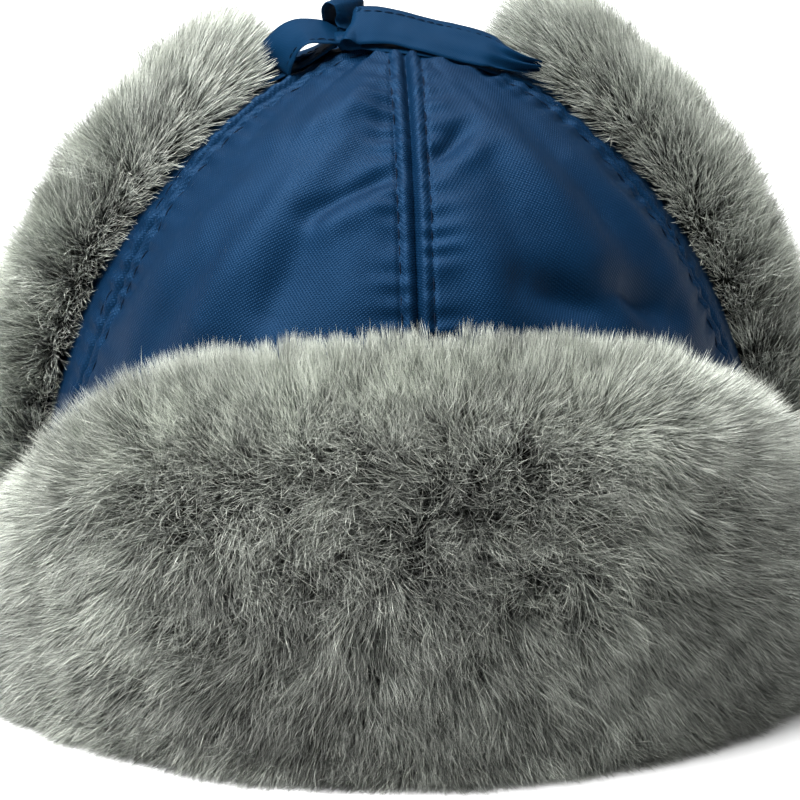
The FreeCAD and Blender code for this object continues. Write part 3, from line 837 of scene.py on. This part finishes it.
def pile(flap, density, high, reach, length, mess=0.25, painted_light_shift=None):
    """Grows the flap's pile as tapered strands, in pieces of a bounded size."""
    rng = np.random.default_rng(flap.seed)
    width = STRAND_WIDTH
    c, h, distance = scatter(flap, density, high, reach, rng)
    order = np.argsort(c, kind="stable")
    c, h, distance = c[order], h[order], distance[order]
    root, normal, along_c, along_h = flap.pile_surface(c, h, distance)
    count = len(c)
    seed = flap.seed
    flow = flap.flow(c, h)
    flow[:, 1] = np.maximum(flow[:, 1], -np.clip((h - 1) / 14, 0, 1))
    drift = noise_pair(c, h, 24, seed + 11) * 0.30 + noise_pair(c, h, 9, seed + 13) * mess
    centre, shared = clump(c, h, 3.4, seed + 20)
    big_centre, big_shared = clump(c, h, 10.5, seed + 40)
    drift += (shared[:, :2] - 0.5) * 0.42 + (big_shared[:, :2] - 0.5) * 0.35
    course = flow * LEAN + drift
    sway = course[:, :1] * along_c + course[:, 1:] * along_h
    stray = rng.normal(0, 1, (count, 3))
    board_normal, _, _ = flap.frame(c, h)
    share = (0.6 * eased(distance, 1.0, 7.0))[:, None]
    tucked = (0.25 * (1 - eased(distance, 0.0, 3.0)))[:, None]
    upright = unit(normal * (1.2 - share) + board_normal * (share - tucked))
    bend = noise(c, h, 6, seed + 17)[:, None] * along_c * mess
    start = unit(upright + sway * 0.35 + stray * 0.13 - bend * 0.3)
    end = unit(upright * 0.72 + sway * 1.05 + stray * 0.28 + bend + np.array([0, 0, -DROOP]))
    size = length * (0.80 + 0.18 * shared[:, 2] + 0.08 * big_shared[:, 2]
                     + rng.normal(0, 0.06, count))
    size = size * (1 + 0.06 * noise(c, h, 30, seed + 15))
    size = size * (0.72 + 0.28 * eased(distance, 0, 5))

    def towards(goal):
        return (goal[:, :1] - c[:, None]) * along_c + (goal[:, 1:] - h[:, None]) * along_h

    pull = towards(centre) * 0.48 + towards(big_centre) * 0.16
    line = [root - normal * 0.6]
    for step in range(STEPS):
        t = (step + 0.5) / STEPS
        line.append(line[-1] + unit(start * (1 - t) + end * t) * (size / STEPS)[:, None])
    line = np.stack(line, 1)
    t = np.arange(STEPS + 1) / STEPS
    line = line + pull[:, None] * (t ** 1.6)[None, :, None]
    line[..., 2] = np.maximum(line[..., 2], 0.25 + 0.3 * t[None])
    axis = unit(line[:, 2] - line[:, 0])
    side = unit(np.cross(axis, normal))
    spin = rng.normal(0, 0.7, count)[:, None]
    side = side * np.cos(spin) + np.cross(axis, side) * np.sin(spin)
    half = width * (0.75 + 0.5 * rng.random(count))
    widths = half[:, None] * HALF_WIDTHS[None]
    left = line[:, :STEPS] - side[:, None] * widths[..., None]
    right = line[:, :STEPS] + side[:, None] * widths[..., None]
    points = np.concatenate([np.stack([left, right], 2).reshape(count, 2 * STEPS, 3),
                             line[:, STEPS:]], 1)
    tone = (2.05 + 1.5 * (shared[:, 3] - 0.5) + 0.9 * (big_shared[:, 3] - 0.5)
            + rng.normal(0, 0.95, count) + 0.5 * noise(c, h, 34, seed + 16))
    # The flap's shift paints light and shade into the strands' tones: paler where the lamps fall, darker
    # where shade falls.
    if painted_light_shift is not None:
        tone = tone + painted_light_shift(c, h)
    tone = np.clip(np.round(tone), 0, len(FUR_TONES) - 1).astype(int)
    per_strand = 2 * STEPS + 1
    for number, first in enumerate(range(0, count, PILE_PER_PIECE)):
        chosen = slice(first, min(first + PILE_PER_PIECE, count))
        strands = points[chosen]
        base = np.arange(len(strands))[:, None] * per_strand
        quads = np.stack([base + 2 * k + np.array([0, 1, 3, 2]) for k in range(STEPS - 1)], 1)
        quads = quads.reshape(-1, 4)
        tips = base + 2 * STEPS + np.array([-2, -1, 0])
        shades = tone[chosen] * STEPS
        slots = np.concatenate([(shades[:, None] + np.arange(STEPS - 1)).ravel(),
                                shades + STEPS - 1])
        piece = make_mesh("%s_pile_%d" % (flap.name, number + 1), strands.reshape(-1, 3),
                          [quads, tips], FUR, slots)
        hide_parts(flap.name + "_fur")
        bends(piece)
    return count


# --- ties -----------------------------


def ribbon(name, points, widths, tilts, count, seed, gauge=0.75, pleat=0.0):
    """A flat ribbon along points. tilts holds, for each point, the direction across the ribbon."""
    path = smooth_path(points, count)
    across = smooth_path(tilts, count)
    wide = smooth_path(np.array(widths, float)[:, None], count)[:, 0]
    forward = unit(np.gradient(path, axis=0))
    across = unit(across - forward * (across * forward).sum(-1, keepdims=True))
    up = unit(np.cross(across, forward))
    along = path_length(path)
    u = np.concatenate([np.linspace(-1, 1, 15), np.linspace(1, -1, 15)])
    face = np.concatenate([np.ones(15), -np.ones(15)])
    narrowed = 1 - np.clip(wide / 13.5, 0, 1)
    outlines = np.zeros((count, 30, 2))
    for row in range(count):
        crease = 0.28 * noise(along[row] + 0 * u, u * 6, 5, seed) + 0.35 * (u ** 2 - 0.4)
        crease = crease + pleat * narrowed[row] * np.sin(7.5 * u + 0.4)
        stitched = -0.16 * ridge(np.abs(u), 0.74, 0.07) * face
        edge = np.sqrt(np.clip(1 - np.abs(u) ** 12, 0.02, 1))
        outlines[row, :, 0] = u * wide[row] / 2
        outlines[row, :, 1] = face * (gauge / 2) * edge + crease + stitched
    piece = swept(name, path, across, up, outlines, RIBBON)
    return piece, (path, across, up, wide, along)


def ribbon_stitches(path, across, up, wide, along, share):
    """One row of stitches at a share of a ribbon's half width, seen on both of its faces."""
    marks = np.arange(1.5, along[-1] - 1, 2.6)
    ups = unit(np.stack([np.interp(marks, along, up[:, k]) for k in range(3)], -1))
    rows = []
    for lift in (0.42, -0.42):
        line = path + across * (wide / 2 * share)[:, None] + up * lift
        row = np.stack([np.interp(marks, along, line[:, k]) for k in range(3)], -1)
        rows.append((row, ups * np.sign(lift)))
    return rows


def join(name, parts):
    """Several meshes as one piece."""
    bpy.ops.object.select_all(action="DESELECT")
    for part in parts:
        part.select_set(True)
    bpy.context.view_layer.objects.active = parts[0]
    bpy.ops.object.join()
    parts[0].name = name
    parts[0].data.name = name
    return parts[0]


def over(x, y, gap):
    """A point over the plain crown."""
    share = np.maximum(1 - (x / CROWN_X) ** 2 - (y / CROWN_Y) ** 2, 0)
    return x, y, float(BAND + RISE * np.sqrt(share) + gap)


def tie(side, ribbons):
    """One ear flap's tie. Each ribbon's facts start with where its stitches run, as a share of its half
    width, or None."""
    parts, rows = [], []
    for share, *shape in ribbons:
        part, facts = ribbon(*shape)
        parts.append(part)
        if share is not None:
            rows += ribbon_stitches(*facts, share)
    piece = join("tie_%s_ribbon" % side, parts)
    belongs(piece, "ear_tie_" + side, "ear_flap_" + side)
    stitch_rows("tie_%s_stitching" % side, rows, "ear_flap_" + side, 0.3)


K = -16.0  # the knot's x
LAY = (0.05, 0.82, 0.56)  # how the tail lies on the crown
LEFT_RIBBONS = [
    (-0.7, "left_run",
     [over(-46, 4, 1.8), over(-38, 3, 1.8), over(-30, 1, 2.2), over(-22, -1, 3.2),
      (K - 1, -3, 159.0)],
     [13, 13, 12.5, 10, 7], [(0.0, 1.0, 0.18)] * 5, 60, 3),
    (-0.7, "left_loop",
     [(K - 0.5, -4.0, 160.0), (-20.5, -5.0, 161.2), (-25.6, -5.4, 161.2), (-29.8, -5.0, 158.8),
      (-32.4, -4.4, 155.0), (-32.8, -2.0, 151.4), (-29.6, 2.0, 150.4), (-24.0, 3.0, 152.8),
      (-19.0, 2.0, 156.4), (K, -1.0, 158.6)],
     [8, 12, 13.5, 13.5, 13.5, 13.5, 13, 12, 9, 7],
     [(-0.1, 1, 0.42), (-0.2, 1, 0.38), (-0.4, 1, 0.3), (-0.7, 1, 0.15), (-0.8, 1, 0.0),
      (-0.5, 1, -0.3), (0, 1, -0.6), (0, 1, -0.6), (0, 1, -0.3), (0, 1, 0.1)], 110, 5),
    (0.7, "top_loop",
     [(K + 1.0, -1.0, 160.2), (-16.8, 3.8, 161.6), (-17.5, 4.8, 165.2), (-17.0, 4.6, 167.6),
      (-15.3, 3.6, 168.6), (-13.6, 2.4, 167.7), (-13.3, 1.6, 164.8), (-13.5, 0.4, 162.2),
      (K + 2.4, -1.6, 160.4)],
     [7.5, 11, 12.5, 13, 13, 13, 12.5, 11, 7.5],
     [(0.6, 0.8, 0.1), (0.6, 0.8, 0.05)] + [(0.6, 0.8, 0.0)] * 5
     + [(0.6, 0.8, 0.05), (0.6, 0.8, 0.1)], 90, 7),
    (None, "knot",
     [(K + 2.4, -6.0, 157.4), (K + 2.2, -6.8, 158.6), (K + 1.8, -5.8, 159.8),
      (K + 1.4, -2.0, 160.5), (K + 1.2, 1.4, 159.8), (K + 1.4, 2.6, 158.4)],
     [5.5, 6.5, 7, 7, 6.5, 5.5], [(1, 0.05, 0.1)] * 6, 40, 11, 1.6),
]
RIGHT_RIBBONS = [
    (-0.7, "right_run",
     [(K + 5.2, -5.5, 158.6), over(-4, -6, 3.0), over(12, -7, 2.4), over(28, -6, 1.8),
      over(38, -3, 1.6), over(46, 2, 1.8)],
     [8, 11, 13, 13, 13, 13],
     [(0, 1, 0.2), (0, 1, 0.25), (0, 1, 0.3), (0, 1, 0.3), (0, 1, 0.2), (0, 1, 0.1)], 80, 13),
    (0.66, "tail",
     [(-5.0, -3.2, 161.0), (-10.0, -3.8, 161.3), (-13.2, -4.4, 162.0), (-12.2, -4.9, 162.9),
      (-7.5, -5.2, 163.2), (-1.5, -5.7, 162.6), (6, -7.2, 160.8), (14, -8.6, 159.0),
      (21.5, -9.6, 157.2), (25.6, -10.2, 155.4), (30.5, -10.5, 153.9), (35.6, -10.6, 152.9)],
     [9, 12, 13, 13.5, 13.5, 13, 13, 13, 12.5, 8.5, 5.5, 3.2],
     [(0.4, 0.8, 0.6), (0.5, 0.8, 0.6), (0.6, 0.8, 0.65), (0.55, 0.8, 0.65), (0.3, 0.82, 0.6),
      LAY, LAY, LAY, LAY, (0.1, 0.7, 0.7), (0.15, 0.5, 0.85), (0.2, 0.4, 0.9)],
     150, 17, 0.75, 1.7),
]


# --- the whole hat --------------------

crown_gores()
lining_gores()
rim()
crown_stitches()

flap_cloth(visor, 0.0, 94.0, 2.7, "stiffener", BUCKRAM)
flap_cloth(neck, 0.0, neck_high - 3.0, 3.6, "wadding", WADDING)
for ear in ears:
    flap_cloth(ear, EAR_MIDDLE, EAR_TOP - 7.0, 3.6, "wadding", WADDING)

strand_count = pile(visor, 4.6, 102.0, 127, 17.0, painted_light_shift=visor_painted_light)
strand_count += pile(neck, 2.9, neck_high + 3, 84, 16.0)
for ear, ear_mess in zip(ears, (0.34, 0.55)):
    strand_count += pile(ear, 3.6, EAR_TOP + 6, 70, 18.0, ear_mess, ear_painted_light)
print("strands", strand_count)
tie("left", LEFT_RIBBONS)
tie("right", RIGHT_RIBBONS)

# size_tab keeps its CAD shape and gets a finished material
tab_cloth = fleecy("tab_cloth", (0.62, 0.62, 0.60), (0.80, 0.80, 0.78), 0.7, 0.6, 0.05)
size_tab = bpy.data.objects["size_tab"]
if not size_tab.material_slots:
    size_tab.data.materials.append(tab_cloth)
for place in size_tab.material_slots:
    place.material = tab_cloth


# --- stage, light and camera ----------

def stage():
    """A white studio floor: lit by the lamps near the hat, and glowing softly further away."""
    floor_material, tree, shader = new_material("studio_floor", (0.78, 0.78, 0.78), 0.7, 0.2)
    place = node(tree, "ShaderNodeTexCoord")
    reach = node(tree, "ShaderNodeVectorMath", operation="LENGTH")
    tree.links.new(place.outputs["Object"], reach.inputs[0])
    glow = node(tree, "ShaderNodeMapRange", interpolation_type="SMOOTHSTEP", From_Min=0.25,
                From_Max=0.85, To_Min=0.0, To_Max=0.85)
    tree.links.new(reach.outputs["Value"], glow.inputs["Value"])
    shader.inputs["Emission Color"].default_value = (1, 1, 1, 1)
    tree.links.new(glow.outputs["Result"], shader.inputs["Emission Strength"])
    around = np.radians(np.arange(0, 360, 5))
    ring = np.stack([np.cos(around), np.sin(around), 0 * around], -1) * 6.0 / MM
    floor = make_mesh("studio_floor", ring, [np.arange(len(ring))[None]], [floor_material])


def area_light(name, place, aim, size, power):
    data = bpy.data.lights.new(name, "AREA")
    data.shape = "RECTANGLE"
    data.size, data.size_y = size
    data.energy = power
    lamp = bpy.data.objects.new(name, data)
    lamp.location = place
    lamp.rotation_euler = (Vector(aim) - Vector(place)).to_track_quat("-Z", "Y").to_euler()
    bpy.context.scene.collection.objects.link(lamp)


def lights():
    middle = (0, 0, 0.08)
    area_light("key", (-0.55, -0.20, 1.10), middle, (0.6, 0.6), 42)
    area_light("fill", (0.95, -0.75, 0.65), middle, (0.9, 0.9), 1)
    area_light("top", (0.1, 0.20, 1.25), middle, (0.9, 0.6), 15)
    world = bpy.data.worlds.new("studio")
    bpy.context.scene.world = world
    world.use_nodes = True
    sky = world.node_tree.nodes["Background"]
    sky.inputs["Color"].default_value = (1.0, 1.0, 1.0, 1)
    sky.inputs["Strength"].default_value = 0.31


FOCAL_PIXELS = 2832  # the camera's focal length, in pixels of an 800 pixel picture


def camera():
    elevation, distance, yaw = math.radians(17.5), 0.75, math.radians(3.0)
    target = Vector((-0.0015, -0.020, 0.0656))
    look = Vector((math.sin(yaw) * math.cos(elevation), math.cos(yaw) * math.cos(elevation),
                   -math.sin(elevation)))
    data = bpy.data.cameras.new("camera")
    data.lens = FOCAL_PIXELS / 800 * data.sensor_width
    eye = bpy.data.objects.new("camera", data)
    eye.location = target - look * distance
    eye.rotation_euler = look.to_track_quat("-Z", "Y").to_euler()
    bpy.context.scene.collection.objects.link(eye)
    bpy.context.scene.camera = eye


stage()
lights()
camera()
bpy.context.scene.view_settings.view_transform = "Standard"
